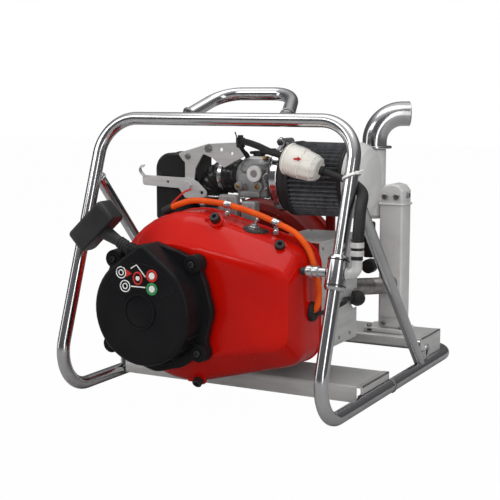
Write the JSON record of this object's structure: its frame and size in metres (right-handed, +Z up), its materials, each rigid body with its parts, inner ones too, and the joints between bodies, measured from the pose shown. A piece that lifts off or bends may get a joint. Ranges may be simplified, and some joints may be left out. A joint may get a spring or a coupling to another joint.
{
  "type": "portable power unit",
  "caption": "Petrol-engine power unit with a recoil starter, red fan cowl and driven pump, standing in a bent stainless tube carrying frame.",
  "frame": {"origin": "on the ground, below the middle of the bounding box", "axes": "+X to the unit's right seen from the recoil starter's side, +Y from the starter to the rear, +Z up"},
  "size_m": [0.509, 0.6446, 0.5002],
  "materials": {
    "stainless": "bright stainless steel",
    "sheet_steel": "satin sheet steel",
    "cast_aluminium": "rough cast",
    "machined_steel": "machined",
    "red_paint": "gloss",
    "dark_red_paint": "gloss",
    "black_plastic": "satin",
    "black_rubber": "matte",
    "filter_pleats": "matte",
    "orange_sleeve": "satin",
    "cream_plastic": "translucent",
    "white_plastic": "satin",
    "natural_rope": "matte"
  },
  "bodies": {
    "unit": {"front_hoop": "stainless", "rear_loop": "stainless", "left_brace": "stainless", "right_brace": "stainless", "carry_handle": "stainless", "base_plate": "sheet_steel", "rear_tray": "sheet_steel", "crankcase_front": "cast_aluminium", "crankcase_rear": "cast_aluminium", "cylinder": "cast_aluminium", "cylinder_head": "cast_aluminium", "spark_plug": "machined_steel", "front_bearing": "machined_steel", "rear_bearing": "machined_steel", "ignition_coil": "black_plastic", "fan_cowl": "red_paint", "toggle_switch": "machined_steel", "starter_housing": "black_plastic", "recoil_spring": "machined_steel", "starter_rope": "natural_rope", "air_duct": "sheet_steel", "plug_boot": "black_rubber", "ht_lead": "black_rubber", "intake_boot": "black_rubber", "carburettor": "cast_aluminium", "filter_collar": "black_rubber", "filter_clamp": "stainless", "filter_element": "filter_pleats", "filter_end_cap": "sheet_steel", "post_sleeve": "stainless", "fuel_connector": "stainless", "hose_elbow": "sheet_steel", "feed_hose": "black_rubber", "cable_tie": "white_plastic", "fuel_filter": "cream_plastic", "carb_hose": "black_rubber", "exhaust_pipe": "stainless", "silencer": "cast_aluminium", "tail_pipe": "stainless", "pump_casing": "dark_red_paint", "pump_cover": "dark_red_paint", "control_box": "black_plastic", "control_bracket": "sheet_steel", "orange_lead": "orange_sleeve"},
    "grip": {"pull_grip": "black_plastic"},
    "pulley": {"rope_pulley": "white_plastic"},
    "crank": {"crank_half_front": "machined_steel", "crank_half_rear": "machined_steel", "flywheel_fan": "cast_aluminium", "starter_cup": "machined_steel", "impeller": "cast_aluminium"},
    "piston": {"piston": "cast_aluminium", "gudgeon_pin": "machined_steel", "connecting_rod": "machined_steel", "crank_pin": "machined_steel"},
    "throttle_lever": {"throttle_lever": "sheet_steel"},
    "link": {"link_rod": "stainless"},
    "throttle_arm": {"throttle_arm": "machined_steel"},
    "choke_lever": {"choke_lever": "black_plastic"},
    "switch_bat": {"switch_bat": "stainless"}
  },
  "joints": [
    {"name": "pulley_spin", "type": "hinge", "parent": "unit", "child": "pulley", "pos_m": [-0.07087, -0.29829, 0.1615], "axis": [0, 1, 0], "range_deg": [-468, 0], "stiffness_Nm_per_rad": 0.1},
    {"name": "grip_pull", "type": "slide", "parent": "unit", "child": "grip", "axis": [-0.891, 0, 0.454], "range_m": [0, 0.5485]},
    {"name": "crank_turn", "type": "hinge", "parent": "unit", "child": "crank", "pos_m": [-0.07087, -0.05879, 0.1615], "axis": [0, 1, 0], "continuous": true},
    {"name": "piston_stroke", "type": "slide", "parent": "unit", "child": "piston", "axis": [1, 0, 0], "range_m": [-0.05, 0]},
    {"name": "throttle_turn", "type": "hinge", "parent": "unit", "child": "throttle_lever", "pos_m": [-0.11188, -0.10979, 0.3385], "axis": [0, 1, 0], "range_deg": [0, 28]},
    {"name": "link_shift", "type": "slide", "parent": "unit", "child": "link", "axis": [1, 0, 0], "range_m": [-0.0089, 0]},
    {"name": "throttle_shaft", "type": "hinge", "parent": "unit", "child": "throttle_arm", "pos_m": [-0.01087, -0.09979, 0.3385], "axis": [0, 1, 0], "range_deg": [0, 28.2]},
    {"name": "choke_turn", "type": "hinge", "parent": "unit", "child": "choke_lever", "pos_m": [-0.00688, -0.07379, 0.39], "axis": [0, 0, 1], "range_deg": [0, 55]},
    {"name": "switch_flip", "type": "hinge", "parent": "unit", "child": "switch_bat", "pos_m": [0.06455, -0.20798, 0.28594], "axis": [0, 1, 0], "range_deg": [-24, 0]}
  ],
  "couplings": [
    {"joint": "grip_pull", "follows": "pulley_spin", "m_per_rad": -0.0671},
    {"joint": "link_shift", "follows": "throttle_turn", "m_per_rad": -0.018},
    {"joint": "throttle_shaft", "follows": "throttle_turn", "ratio": 1}
  ]
}
